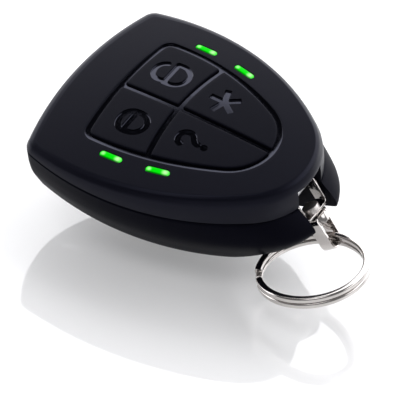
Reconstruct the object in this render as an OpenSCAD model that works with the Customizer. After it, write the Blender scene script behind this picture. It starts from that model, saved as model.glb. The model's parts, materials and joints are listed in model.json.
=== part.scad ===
// Four-key alarm fob with a swivel link and a split key ring, in millimetres.
// Frame: back face on z = 0, keys face +Z, wide end at +Y, ring end at -Y.

/* [Case] */
// Width of the case
body_w = 47; // [42:0.5:54]
// Length of the top shell
body_l = 55; // [50:0.5:62]
// Height of the parting line above the back
rear_h = 12.5; // [11.5:0.1:14]
// Height of the top face's highest point above the parting line
crown_h = 6.9; // [6.8:0.1:8]
// How far the rear shell's nose reaches past the top shell
nose = 4.4; // [3.5:0.1:5.5]
// Wall thickness
wall = 2.0; // [1.8:0.1:2.4]
// Radius of the wide end
end_r = 70; // [60:1:90]
// Radius of the sides
side_r = 51.6; // [48:0.2:60]
// Radius of the two corners
corner_r = 3.3; // [2.5:0.1:5]
// Radius of the narrow tip
tip_r = 15.6; // [14:0.1:17]

/* [Top face] */
// Inset of the crease round the top face
crease_in = 2.1; // [1.6:0.1:2.6]
// Inset where the side band turns over
band_in = 0.6; // [0.4:0.05:0.9]
// Drop of the top face at the sides
side_drop = 1.6; // [1.2:0.1:2]
// Drop of the top face at the wide end
end_drop = 4.6; // [4:0.1:4.8]
// Place of the highest point along the case
apex_y = -23.7; // [-26:0.1:-20]

/* [Keypad] */
// Width of the key recess
pad_w = 29.8; // [28.4:0.2:30.4]
// Wide end of the key recess
pad_top = 16.9; // [16:0.1:17.4]
// Tip of the key recess
pad_tip = 18.7; // [17.6:0.1:19.2]
// Groove between the keys and round them
groove = 1.1; // [0.9:0.05:1.3]
// Depth of the grooves
groove_deep = 0.65; // [0.5:0.05:0.9]
// Depth of the pocket under each key
recess = 2.0; // [1.9:0.05:2.3]
// Thickness of the recess floor
web = 1.2; // [1:0.05:1.4]
// Where the grooves cross
cross_y = 3.0; // [1:0.1:5]
// Stroke of each key
key_travel = 0.5; // [0.3:0.05:0.6]

/* [Indicators] */
// Length of each light slit
slit_l = 4.8; // [4:0.1:5.6]
// Width of each light slit
slit_w = 1.4; // [1.1:0.05:1.6]

/* [Electronics] */
// Underside of the circuit board
board_z = 7.0; // [6.9:0.1:7.4]
// Thickness of the circuit board
board_t = 1.2; // [1:0.1:1.6]
// Diameter of the coin cell
cell_d = 20; // [16:0.1:20]
// Thickness of the coin cell
cell_h = 3.2; // [2:0.1:3.2]

/* [Link and ring] */
// Width of the slot in the nose
slot_w = 8; // [7.6:0.1:9]
// Diameter of the cross pin
pin_d = 1.4; // [1.2:0.1:1.6]
// Width of the bracket straps
strap_w = 2.6; // [2.4:0.1:3.2]
// Thickness of the bracket straps
strap_t = 0.5; // [0.4:0.05:0.7]
// Diameter of the swivel barrel
barrel_d = 4.4; // [4:0.1:4.8]
// Height of the swivel barrel
barrel_h = 1.8; // [1.4:0.1:2.2]
// Height of the rivet's upper head
cap_h = 1.3; // [0.8:0.1:1.6]
// Slope of the hanging link below the level
link_tilt = 52; // [48:1:56]
// Pin to the middle of the ring's wire
link_l = 12.2; // [11.9:0.1:12.6]
// Outer diameter of the split ring
ring_od = 22; // [20:0.5:25]
// Width of the ring's wire
wire_w = 1.35; // [1.2:0.05:1.6]
// Height of the ring's wire
wire_h = 1.1; // [0.9:0.05:1.2]

/* [Fits] */
// Running clearance on a pin, each side
run_fit = 0.05; // [0.02:0.01:0.08]
// Running clearance round a key
key_fit = 0.08; // [0.05:0.01:0.1]
// Gap between moving pieces
gap = 0.3; // [0.25:0.05:0.4]

/* [Hidden] */
$fn = 48;
half_w = body_w / 2;
half_l = body_l / 2;
floor_t = 1.8;
lip = 0.3;
pin_y = 2.9 - half_l;
pin_l = slot_w + 3;
slot_back = pin_y + 3.2;
slot_roof = rear_h + crown_h - 2.4;
liner = 1.6;
board_top = board_z + board_t;
cross_r = 53.7;
key_r = 230;
key_y = 2 * key_r * end_drop * apex_y / pow(half_l - apex_y, 2);
key_z = dome(0, 0) + key_y * key_y / (2 * key_r);
screw_at = [half_w - 8, half_l - 10.5];
post_d = 5.0;
post_z = board_z - 0.4;
shank_d = 2.0;
screw_l = 9;
screw_head = 3.8;
head_sink = 0.4;
switch_w = 6.0;
plunger_d = 3.4;
stem_d = 4.4;
collar_d = stem_d + 1.6;
collar_t = 0.45;
cell_at = [0, 3.5];
cell_z = board_z - 1.2 - cell_h;
bracket_l = slot_w - 0.7;
arm_l = 5.4;
bend_r = 0.6;
swivel_gap = 0.3;
rivet_d = 1.2;
head_h = 0.6;
head_play = 0.15;
ring_r = (ring_od - wire_w) / 2;
loop_d = 3.6;
loop_w = strap_w - 0.1;
swivel_turn = 16;
ring_turn = [-19.8, 9.6, 0];
ring_phase = 12.2;
ring_end = 125;
pad_edge = 0.5;
leds = [[pad_w / 2 + 1.6, pad_top - 9.5, 1.8], [pad_w / 2 + 0.2, pad_top - 19.2, 12.4]];
key_x = pad_w / 4;
stem_up = 6.2;
stem_down = 9.2;
stem_in = 0.8;
keys = [[-key_x, cross_y + stem_up], [key_x, cross_y + stem_up], [key_x - stem_in, cross_y - stem_down],
  [stem_in - key_x, cross_y - stem_down]];
plunger_z = collar_top(keys[1]) - collar_t - 0.05;
switch_h = plunger_z - 1.4 - board_top;
foot_side = 6;
foot_end = 13;
board_feet = [[half_w - foot_side, 2], [9.5, foot_end - half_l]];

// Points of one arc, its first point left out
function arc(c, r, a0, a1, n) =
  [for (i = [1:n]) c + r * [cos(a0 + (a1 - a0) * i / n), sin(a0 + (a1 - a0) * i / n)]];

// Shield outline of tangent arcs, tip at -Y, anticlockwise, 50 points
function shield(w, top, tip, er, cr, sr, tr) = let(
    tc = [0, tr - tip],
    sx = w - sr,
    sc = [sx, tc.y + sqrt(pow(sr - tr, 2) - sx * sx)],
    ec = [0, top - er],
    d = norm(sc - ec),
    u = (sc - ec) / d,
    a = (pow(er - cr, 2) - pow(sr - cr, 2) + d * d) / (2 * d),
    h = sqrt(pow(er - cr, 2) - a * a),
    cc = ec + a * u + h * [u.y, -u.x],
    a1 = atan2(tc.y - sc.y, tc.x - sc.x),
    a2 = atan2(cc.y - sc.y, cc.x - sc.x),
    a3 = atan2(cc.y - ec.y, cc.x - ec.x),
    right = concat([[0, -tip]], arc(tc, tr, -90, a1, 7), arc(sc, sr, a1, a2, 8),
      arc(cc, cr, a2, a3, 4), arc(ec, er, a3, 90, 6)))
  concat(right, [for (i = [len(right) - 2:-1:1]) [-right[i].x, right[i].y]]);

// Case outline moved inward by d
function case_line(d) = shield(half_w - d, half_l - d, half_l - d, end_r - d,
  max(corner_r - d, 0.6), side_r - d, tip_r - d);

// Key recess outline moved inward by d
function pad_line(d) = shield(pad_w / 2 - d, pad_top - d, pad_tip - d, 77.5 - d,
  max(2.6 - d, 0.5), 57.2 - d, 10.3 - d);

// Outline drawn out toward the tip by s
function drawn_out(line, s) = [for (p = line) [p.x, p.y - s * (1 - p.y / half_l) / 2]];

// Height of the domed top face
function dome(x, y) = rear_h + crown_h - side_drop * pow(x / half_w, 2)
  - end_drop * pow((y - apex_y) / (half_l - apex_y), 2);

// Height of the curved surface that the keys share
function key_face(x, y) = key_z - key_r + sqrt(key_r * key_r - x * x - pow(y - key_y, 2));

// Top of a key's snap collar, under the recess floor
function collar_top(at) = key_face(abs(at.x) + collar_d / 2, at.y + collar_d / 2) - recess - web - 0.1;

// Closed skin through a stack of rings with the same number of points
module skin(rings, crown) {
  n = len(rings[0]);
  m = len(rings);
  pts = concat([for (r = rings) for (p = r) p], [crown]);
  polyhedron(pts, concat(
    [[for (i = [0:n - 1]) i]],
    [for (k = [0:m - 2]) for (i = [0:n - 1]) let(j = (i + 1) % n) [k * n + i, (k + 1) * n + i, (k + 1) * n + j]],
    [for (k = [0:m - 2]) for (i = [0:n - 1]) let(j = (i + 1) % n) [k * n + i, (k + 1) * n + j, k * n + j]],
    [for (i = [0:n - 1]) [(m - 1) * n + i, m * n, (m - 1) * n + (i + 1) % n]]));
}

// Outer form of the top shell
module top_form() {
  rim = case_line(crease_in);
  mid = [0, -1];
  tops = [for (p = rim) dome(p.x, p.y)];
  function ring(d, share) = [for (i = [0:len(rim) - 1])
    let(p = case_line(d)[i]) [p.x, p.y, rear_h + lip + (tops[i] - rear_h - lip) * share]];
  function dome_ring(k) = [for (p = rim) let(q = mid + (p - mid) * k) [q.x, q.y, dome(q.x, q.y)]];
  skin([[for (p = case_line(lip)) [p.x, p.y, rear_h]], ring(0, 0), ring(band_in * 0.35, 0.4),
    ring(band_in, 0.72), ring((band_in + crease_in) / 2, 0.93), dome_ring(1), dome_ring(0.72),
    dome_ring(0.36)], [mid.x, mid.y, dome(mid.x, mid.y)]);
}

// Outer form of the rear shell
module rear_form() {
  steps = [[0, 4.1, 1], [0.45, 3.35, 1], [1.3, 2.75, 1], [4, 1.5, 1], [rear_h - 4.6, 0.2, 1],
    [rear_h - 2.2, 0, 0.58], [rear_h - lip, 0, 0.06], [rear_h, lip, 0]];
  skin([for (s = steps) [for (p = drawn_out(case_line(s[1]), nose * s[2])) [p.x, p.y, s[0]]]],
    [0, 0, rear_h]);
}

// Space under the curved key surface, lowered by d
module under_keys(d) {
  translate([0, key_y, key_z - key_r - d]) sphere(r = key_r, $fn = 200);
}

// Straight prism on an outline
module prism(line, z0, z1) {
  translate([0, 0, z0]) linear_extrude(z1 - z0) polygon(line);
}

// Slot for the link, wider by d on each inner side, from z0 to z1
module nose_slot(d, z0, z1) {
  translate([-slot_w / 2 - d, -half_l - nose - 5, z0])
    cube([slot_w + 2 * d, half_l + nose + 5 + slot_back + d, z1 - z0]);
}

// Space cut away under the sloping nose, raised by d
module nose_bevel(d) {
  translate([-half_w, 9.5 - half_l, d]) rotate([-30, 0, 0]) translate([0, -40, -20]) cube([body_w, 40, 20]);
}

// Pin across the slot
module pin_form() {
  translate([-pin_l / 2, pin_y, rear_h]) rotate([0, 90, 0]) cylinder(d = pin_d, h = pin_l);
}

// Both sides
module both() {
  children();
  mirror([1, 0, 0]) children();
}

// Light slit grown by d, upright
module slit(at, d, z0, z1) {
  translate([at[0], at[1], z0]) rotate([0, 0, -at[2]]) {
    translate([-slit_w / 2 - d, -(slit_l - slit_w) / 2, 0]) cube([slit_w + 2 * d, slit_l - slit_w, z1 - z0]);
    for (s = [-1, 1]) translate([0, s * (slit_l - slit_w) / 2, 0]) cylinder(d = slit_w + 2 * d, h = z1 - z0);
  }
}

module top_shell() {
  color([0.14, 0.14, 0.16]) difference() {
    union() {
      difference() {
        top_form();
        difference() {
          intersection() {
            prism(case_line(wall), rear_h - 1, rear_h + crown_h);
            under_keys(wall);
          }
          difference() {
            prism(pad_line(-pad_edge), rear_h - 2, rear_h + crown_h + 2);
            under_keys(recess + web);
          }
          intersection() {
            nose_slot(liner, rear_h - 2, rear_h + crown_h);
            prism(case_line(1), rear_h - 2, rear_h + crown_h);
          }
        }
      }
      both() intersection() {
        translate([screw_at.x, screw_at.y, post_z]) cylinder(d = post_d, h = 12);
        under_keys(wall / 2);
      }
    }
    difference() {
      prism(pad_line(0), rear_h, rear_h + crown_h + 2);
      under_keys(groove_deep);
    }
    for (i = [0:3]) difference() {
      key_space(i, key_fit);
      under_keys(recess);
    }
    for (k = keys) translate([k.x, k.y, rear_h - 2]) cylinder(d = stem_d + 2 * gap, h = crown_h + 2);
    both() for (a = leds) slit(a, 0.1, rear_h - 1, rear_h + crown_h + 2);
    nose_slot(0, rear_h - 1, slot_roof);
    pin_form();
    both() translate([screw_at.x, screw_at.y, post_z - 1]) cylinder(d = shank_d - 0.3, h = 6.5);
  }
}

module rear_shell() {
  color([0.12, 0.12, 0.14]) difference() {
    union() {
      difference() {
        rear_form();
        difference() {
          union() {
            prism(drawn_out(case_line(wall + 2.6), nose * 0.4), floor_t, 5.6);
            prism(drawn_out(case_line(wall + 0.3), nose * 0.4), 5.5, rear_h - 2.5);
            prism(case_line(wall), rear_h - 2.6, rear_h + 1);
          }
          nose_slot(liner, -1, rear_h + 2);
          nose_bevel(floor_t);
          both() translate([slot_w / 2, pin_y - 2.2, -1]) cube([pin_l / 2 - slot_w / 2 + 1, 4.4, rear_h + 1]);
        }
      }
      both() translate([screw_at.x, screw_at.y, 1]) cylinder(d = post_d, h = post_z - 1);
      both() for (f = board_feet) translate([f.x, f.y, 1]) cylinder(d = 3.2, h = board_z - 1);
      difference() {
        intersection() {
          prism(case_line(wall + 0.1), rear_h - 2.6, rear_h + 1.1);
          under_keys(wall + gap);
        }
        prism(case_line(wall + 0.9), rear_h - 3, rear_h + 2);
        nose_slot(liner + 1, rear_h - 4, rear_h + 4);
      }
    }
    nose_slot(0, -1, rear_h + 2);
    nose_bevel(0);
    pin_form();
    both() translate([screw_at.x, screw_at.y, -1]) cylinder(d = shank_d + 0.4, h = rear_h);
    both() translate([screw_at.x, screw_at.y, -1]) cylinder(d = screw_head + 0.6, h = 1 + head_sink + 1.2);
  }
}

// Upright space of one key, grown by d
module key_space(i, d) {
  g = groove / 2 - d;
  difference() {
    prism(pad_line(groove - d), rear_h, rear_h + crown_h + 2);
    if (i < 2) translate([0, cross_y - cross_r, 0]) cylinder(r = cross_r + g, h = 60, $fn = 200);
    if (i > 1) difference() {
      translate([-50, -50, 0]) cube([100, 100, 60]);
      translate([0, cross_y - cross_r, -1]) cylinder(r = cross_r - g, h = 62, $fn = 200);
    }
    translate([keys[i].x < 0 ? -g : g - 50, -50, 0]) cube([50, 100, 60]);
  }
}

// One key: cap, stem and snap collar
module key(i) {
  at = keys[i];
  color([0.16, 0.16, 0.18]) {
    difference() {
      intersection() {
        key_space(i, 0);
        under_keys(-0.1);
      }
      under_keys(recess - key_travel - 0.25);
    }
    intersection() {
      translate([at.x, at.y, plunger_z + 0.05]) cylinder(d = stem_d, h = 10);
      under_keys(0.5);
    }
    translate([at.x, at.y, collar_top(at) - collar_t]) cylinder(d = collar_d, h = collar_t);
  }
}

module key_lock() {
  key(0);
}

module key_unlock() {
  key(1);
}

module key_star() {
  key(2);
}

module key_help() {
  key(3);
}

// One light pipe: slit lens, shoulder under the roof and foot over its lamp
module lens(a) {
  color([0.55, 0.95, 0.55]) {
    intersection() {
      slit(a, 0, rear_h, rear_h + crown_h + 2);
      under_keys(0);
    }
    intersection() {
      slit(a, 0.3, board_top + 1, rear_h + crown_h);
      under_keys(wall + 0.02);
    }
  }
}

module lens_left_upper() {
  mirror([1, 0, 0]) lens(leds[0]);
}

module lens_left_lower() {
  mirror([1, 0, 0]) lens(leds[1]);
}

module lens_right_upper() {
  lens(leds[0]);
}

module lens_right_lower() {
  lens(leds[1]);
}

module circuit_board() {
  color([0.1, 0.35, 0.18]) difference() {
    prism(case_line(wall + 1.2), board_z, board_top);
    translate([-half_w, -half_l - 1, board_z - 1]) cube([body_w, half_l + 1 + slot_back + liner + 0.8, board_t + 2]);
    both() translate([screw_at.x, screw_at.y, board_z - 1]) cylinder(d = post_d + 0.6, h = board_t + 2);
  }
}

// One push switch body
module switch_body(i) {
  color([0.2, 0.2, 0.22]) translate([keys[i].x, keys[i].y, board_top]) difference() {
    translate([-switch_w / 2, -switch_w / 2, 0]) cube([switch_w, switch_w, switch_h]);
    translate([0, 0, switch_h - 1.2]) cylinder(d = plunger_d + 2 * run_fit, h = 2);
  }
}

module switch_lock() {
  switch_body(0);
}

module switch_unlock() {
  switch_body(1);
}

module switch_star() {
  switch_body(2);
}

module switch_help() {
  switch_body(3);
}

// One switch plunger
module plunger(i) {
  color([0.75, 0.75, 0.72]) translate([keys[i].x, keys[i].y, board_top + switch_h - 1.2 + key_travel + 0.1])
    cylinder(d = plunger_d, h = plunger_z - board_top - switch_h + 1.1 - key_travel);
}

module plunger_lock() {
  plunger(0);
}

module plunger_unlock() {
  plunger(1);
}

module plunger_star() {
  plunger(2);
}

module plunger_help() {
  plunger(3);
}

// One lamp on the board
module led(a) {
  color([0.3, 0.9, 0.3]) translate([a[0], a[1], board_top]) rotate([0, 0, -a[2]])
    translate([-0.8, -1.5, 0]) cube([1.6, 3, 0.8]);
}

module led_left_upper() {
  mirror([1, 0, 0]) led(leds[0]);
}

module led_left_lower() {
  mirror([1, 0, 0]) led(leds[1]);
}

module led_right_upper() {
  led(leds[0]);
}

module led_right_lower() {
  led(leds[1]);
}

module coin_cell() {
  color([0.8, 0.8, 0.82]) translate([cell_at.x, cell_at.y, cell_z]) {
    cylinder(d = cell_d, h = cell_h - 0.6);
    cylinder(d = cell_d - 3.4, h = cell_h);
  }
}

module cell_holder() {
  color([0.1, 0.1, 0.11]) translate([cell_at.x, cell_at.y, 0]) difference() {
    translate([0, 0, cell_z + 0.4]) cylinder(d = cell_d + 3, h = board_z - cell_z - 0.4);
    translate([0, 0, cell_z - 1]) cylinder(d = cell_d + 0.3, h = cell_h + 1.4);
    translate([0, 0, cell_z]) cylinder(d = cell_d - 3, h = board_z);
    translate([-cell_d, -cell_d - 2.5, cell_z - 1]) cube([2 * cell_d, cell_d * 0.62, cell_h + 1.4]);
    both() translate([cell_d / 2 - 0.6, -2, cell_z - 1]) cube([3, 4, 9]);
  }
}

module cell_clip() {
  color([0.85, 0.85, 0.86]) translate([cell_at.x, cell_at.y, 0]) {
    translate([-cell_d / 2 - 1, -1.8, cell_z - 0.4]) cube([cell_d + 2, 3.6, 0.4]);
    both() translate([cell_d / 2 + 0.6, -1.8, cell_z - 0.4]) cube([0.4, 3.6, board_z - cell_z + 0.4]);
  }
}

module cell_spring() {
  color([0.85, 0.8, 0.6]) translate([cell_at.x, cell_at.y, 0]) {
    translate([-3, -3, board_z - 0.3]) cube([6, 6, 0.3]);
    translate([-1.5, -1.5, cell_z + cell_h]) cube([3, 3, board_z - cell_z - cell_h - 0.2]);
  }
}

module control_chip() {
  color([0.13, 0.13, 0.14]) translate([-2.5, -2.8, board_top]) cube([5, 5, 0.9]);
}

module radio_chip() {
  color([0.13, 0.13, 0.14]) translate([-2, -12.6, board_top]) cube([4, 4, 0.9]);
}

module crystal() {
  color([0.78, 0.78, 0.8]) translate([-1.6, -16.2, board_top]) cube([3.2, 2.5, 0.7]);
}

module antenna() {
  color([0.75, 0.5, 0.28]) translate([-5, half_l - 8.3, board_top]) {
    cube([10, 1.6, 1.6]);
    cube([1.2, 2.4, 0.6]);
    translate([8.8, 0, 0]) cube([1.2, 2.4, 0.6]);
  }
}

module case_screws() {
  color([0.6, 0.6, 0.62]) both() translate([screw_at.x, screw_at.y, 0]) {
    translate([0, 0, head_sink]) cylinder(d = screw_head, h = 1.2);
    translate([0, 0, head_sink + 1]) cylinder(d = shank_d - 0.3, h = screw_l);
  }
}

module cross_pin() {
  color([0.8, 0.8, 0.8]) pin_form();
}

// Link frame: x along the pin, -z along the link, origin at the pin
module on_link() {
  translate([0, pin_y, rear_h]) rotate([link_tilt - 90, 0, 0]) children();
}

// Block of width w and depth d with two rounded lower edges, standing on z = 0
module bent_form(w, d, h, r) {
  translate([-w / 2, -d / 2, r]) cube([w, d, h - r]);
  translate([r - w / 2, -d / 2, 0]) cube([w - 2 * r, d, h]);
  both() translate([w / 2 - r, -d / 2, r]) rotate([-90, 0, 0]) cylinder(r = r, h = d);
}

// Upper bracket: a U of bent sheet with rounded arm ends
module link_bracket() {
  color([0.82, 0.82, 0.83]) on_link() difference() {
    intersection() {
      translate([0, 0, -arm_l - strap_t]) bent_form(bracket_l, strap_w, arm_l + strap_t + strap_w, bend_r + strap_t);
      union() {
        translate([-slot_w, 0, 0]) rotate([0, 90, 0]) cylinder(d = strap_w, h = 2 * slot_w);
        translate([-slot_w, -strap_w / 2, -arm_l - 2]) cube([2 * slot_w, strap_w, arm_l + 2]);
      }
    }
    translate([0, 0, -arm_l]) bent_form(bracket_l - 2 * strap_t, strap_w + 2, arm_l + strap_w, bend_r);
    translate([-slot_w, 0, 0]) rotate([0, 90, 0]) cylinder(d = pin_d + 2 * run_fit, h = 2 * slot_w);
    translate([0, 0, -arm_l - 2]) cylinder(d = rivet_d, h = 4);
  }
}

module swivel_rivet() {
  low = -arm_l - strap_t - swivel_gap - barrel_h - head_play;
  color([0.75, 0.75, 0.76]) on_link() {
    translate([0, 0, low - head_h]) cylinder(d = rivet_d, h = head_h - arm_l - low);
    translate([0, 0, -arm_l]) cylinder(d = barrel_d - 2 * strap_t, h = cap_h);
    translate([0, 0, low - head_h]) cylinder(d = rivet_d + 0.9, h = head_h);
  }
}

// Plate of width w on an outline in the link's x-z plane
module strap_plate(line, w) {
  translate([0, w / 2, 0]) rotate([90, 0, 0]) linear_extrude(w) polygon(line);
}

// Lower bracket: strap bent over the swivel barrel, its two sides converging to a loop round the ring
module ring_bracket() {
  top = -arm_l - strap_t - swivel_gap;
  out = loop_d / 2 + strap_t;
  inner = barrel_d / 2 - strap_t * 0.3;
  foot = inner + strap_t * 1.1;
  color([0.82, 0.82, 0.83]) on_link() rotate([0, 0, swivel_turn]) difference() {
    union() {
      difference() {
        union() {
          intersection() {
            strap_plate([[-foot, top], [foot, top], [out * 0.95, -link_l], [-out * 0.95, -link_l]], loop_w);
            translate([0, 0, top]) mirror([0, 0, 1]) bent_form(2 * foot, loop_w + 2, link_l, bend_r + strap_t / 2);
          }
          translate([0, loop_w / 2, -link_l]) rotate([90, 0, 0]) cylinder(r = out, h = loop_w);
        }
        strap_plate([[-inner, top - strap_t], [inner, top - strap_t], [loop_d * 0.47, -link_l],
          [-loop_d * 0.47, -link_l]], loop_w + 2);
      }
      translate([0, 0, top - barrel_h]) cylinder(d = barrel_d, h = barrel_h);
    }
    translate([0, loop_w / 2 + 1, -link_l]) rotate([90, 0, 0]) cylinder(d = loop_d, h = loop_w + 2);
    translate([0, 0, top - barrel_h - 1]) cylinder(d = rivet_d + 2 * run_fit, h = barrel_h + 2);
  }
}

// Split ring: two turns of flat wire, stepping up by one wire in the gap between the wire's ends
module split_ring() {
  n = 40;
  turns = 1.9;
  lift = wire_h + 0.08;
  w = wire_w / 2;
  h = wire_h / 2;
  c = 0.3;
  prof = [[-w + c, -h], [w - c, -h], [w, -h + c], [w, h - c], [w - c, h], [-w + c, h], [-w, h - c], [-w, -h + c]];
  function share(t) = min(max((t - turns + 0.98) / 0.08, 0), 1);
  pts = [for (i = [0:2 * n]) let(t = turns * i / (2 * n), a = ring_end + 360 * (t - turns), z = lift * (share(t) - 0.5))
    for (p = prof) [(ring_r + p.x) * cos(a), (ring_r + p.x) * sin(a), z + p.y]];
  color([0.83, 0.83, 0.84]) on_link() translate([0, 0, -link_l]) rotate([90 - link_tilt, 0, 0])
    rotate(ring_turn) rotate([0, 0, ring_phase]) translate([-ring_r, 0, 0])
      polyhedron(pts, concat(
        [[for (k = [0:7]) k]],
        [for (i = [0:2 * n - 1]) for (k = [0:7]) let(m = (k + 1) % 8) [i * 8 + k, (i + 1) * 8 + k, (i + 1) * 8 + m]],
        [for (i = [0:2 * n - 1]) for (k = [0:7]) let(m = (k + 1) % 8) [i * 8 + k, (i + 1) * 8 + m, i * 8 + m]],
        [[for (k = [7:-1:0]) 2 * n * 8 + k]]));
}

top_shell();
rear_shell();
key_lock();
key_unlock();
key_star();
key_help();
lens_left_upper();
lens_left_lower();
lens_right_upper();
lens_right_lower();
circuit_board();
switch_lock();
switch_unlock();
switch_star();
switch_help();
plunger_lock();
plunger_unlock();
plunger_star();
plunger_help();
led_left_upper();
led_left_lower();
led_right_upper();
led_right_lower();
coin_cell();
cell_holder();
cell_clip();
cell_spring();
control_chip();
radio_chip();
crystal();
antenna();
case_screws();
cross_pin();
link_bracket();
swivel_rivet();
ring_bracket();
split_ring();
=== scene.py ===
import json
import math

import bmesh
import bpy
import numpy as np
from bpy.props import FloatProperty, FloatVectorProperty, PointerProperty
from mathutils import Matrix, Vector

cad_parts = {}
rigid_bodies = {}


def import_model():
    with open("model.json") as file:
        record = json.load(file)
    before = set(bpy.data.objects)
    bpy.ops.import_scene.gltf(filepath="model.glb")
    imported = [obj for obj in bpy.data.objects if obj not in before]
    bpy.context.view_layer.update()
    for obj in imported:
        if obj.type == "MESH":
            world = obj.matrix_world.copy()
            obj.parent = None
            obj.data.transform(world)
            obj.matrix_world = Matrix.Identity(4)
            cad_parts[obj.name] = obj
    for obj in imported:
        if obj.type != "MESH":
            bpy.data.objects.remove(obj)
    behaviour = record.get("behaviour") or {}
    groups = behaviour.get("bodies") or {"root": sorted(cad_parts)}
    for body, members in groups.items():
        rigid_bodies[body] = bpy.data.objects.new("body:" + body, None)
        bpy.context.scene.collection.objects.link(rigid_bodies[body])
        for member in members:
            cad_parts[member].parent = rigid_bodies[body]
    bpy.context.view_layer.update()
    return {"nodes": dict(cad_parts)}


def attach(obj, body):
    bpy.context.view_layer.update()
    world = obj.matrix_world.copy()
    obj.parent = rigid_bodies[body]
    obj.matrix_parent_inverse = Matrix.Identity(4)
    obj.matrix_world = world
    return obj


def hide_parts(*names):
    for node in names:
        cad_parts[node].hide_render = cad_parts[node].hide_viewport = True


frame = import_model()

bl_info = {
    "name": "Alarm Key Fob",
    "version": (1, 0, 0),
    "blender": (4, 5, 0),
    "location": "3D View > Sidebar > Fob",
    "description": "Dresses a four-key alarm fob with its light slits, swivel link and split ring",
    "category": "Add Mesh",
}

# Lengths in the shape functions are millimetres; meshes are written in metres.
MM = 0.001
KEY_NAMES = ("lock", "unlock", "star", "help")
LAMP_NAMES = ("left_upper", "left_lower", "right_upper", "right_lower")

# Case: outline radii, walls and parting line
END_R, SIDE_R, CORNER_R, TIP_R = 70.0, 51.6, 3.3, 15.6
WALL, FLOOR_T, PARTING_LIP = 2.0, 1.8, 0.3
# Domed top: its fall to the sides and to the wide end, and where it is highest
SIDE_DROP, END_DROP, APEX_Y = 1.6, 4.6, -23.7
# Shoulder of the top shell as (way up, inset, share of the rise), and the places where it is read
CREASE_IN, BAND_IN = 2.1, 0.6
SHOULDER = ((0.0, 0.0, 0.0), (0.25, BAND_IN * 0.35, 0.4), (0.5, BAND_IN, 0.72),
            (0.75, (BAND_IN + CREASE_IN) / 2, 0.93), (1.0, CREASE_IN, 1.0))
SHOULDER_AT = (0.0, 0.06, 0.14, 0.25, 0.36, 0.46, 0.5, 0.54, 0.71, 0.75, 0.79, 0.96, 1.0)
# Side of the rear shell as (height, inset, share of the nose)
REAR_SIDE = ((0.0, 4.1, 1.0), (0.45, 3.35, 1.0), (1.3, 2.75, 1.0), (4.0, 1.5, 1.0),
             (7.9, 0.2, 1.0), (10.3, 0.0, 0.58), (12.2, 0.0, 0.06))
BEVEL_Y, BEVEL_SLOPE = -18.0, math.tan(math.radians(30))
# Screw posts, their pilot holes, the screws' wells and the board's feet
POST_D, POST_MEET = 5.0, 6.6
PILOT_D, PILOT_TOP = 1.7, 12.1
HOLE_D, WELL_D, WELL_DEEP = 2.4, 4.4, 1.6
FOOT_D, BOARD_Z = 3.2, 7.0
# Key recess: outline radii, its rim and the wall of the groove as (inset, share of the depth)
PAD_END_R, PAD_CORNER_R, PAD_SIDE_R, PAD_TIP_R = 77.5, 2.6, 57.2, 10.3
PAD_RIM, PAD_EDGE, PAD_FLOOR_IN = 0.12, 0.5, 0.12
PAD_MIDDLE = np.array([0.0, -1.0])
GROOVE_WALL = ((0.0, 0.4), (0.035, 0.12))
GROOVE_FLOOR = (1.0, 0.93, 0.85, 0.7, 0.5, 0.3, 0.12)
WEB = 1.2
# Keys
KEY_SPHERE_R = 230.0
CROSS_Y, CROSS_R = 3.0, 53.7
KEY_PROUD, KEY_TRAVEL, KEY_FIT = 0.1, 0.5, 0.08
KEY_EDGE, KEY_CORNER_R, KEY_CHAMFER = 0.28, 0.35, 0.12
STEM_D, COLLAR_D, COLLAR_T = 4.4, 6.0, 0.45
# Light pipes: foot height, shoulder, and the steps of the rounded top as (growth, depth under the dome)
PIPE_FOOT, PIPE_SHOULDER, PIPE_FIT = 9.2, 0.3, 0.1
PIPE_TOP = ((0.0, 0.12), (-0.06, 0.02), (-0.18, -0.05), (-0.4, -0.09))
# Link, its slot and the ring
PIN_Y, PIN_Z, PIN_D, PIN_L = -24.6, 12.5, 1.4, 11.0
SLOT_W, SLOT_BACK, LINER, SLOT_COLLAR = 8.0, PIN_Y + 3.2, 1.6, 0.9
LINK_TILT, LINK_L = 52.0, 12.2
RING_TURNS, RING_END, RING_PLAY, WIRE_CORNER = 1.95, 105.0, 0.00008, 0.00036
RING_TURN_X, RING_TURN_Y, RING_PHASE = -19.8, 9.6, 12.2
# Meshes are shaded smooth up to this angle
SMOOTH_TO = 35.0


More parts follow.
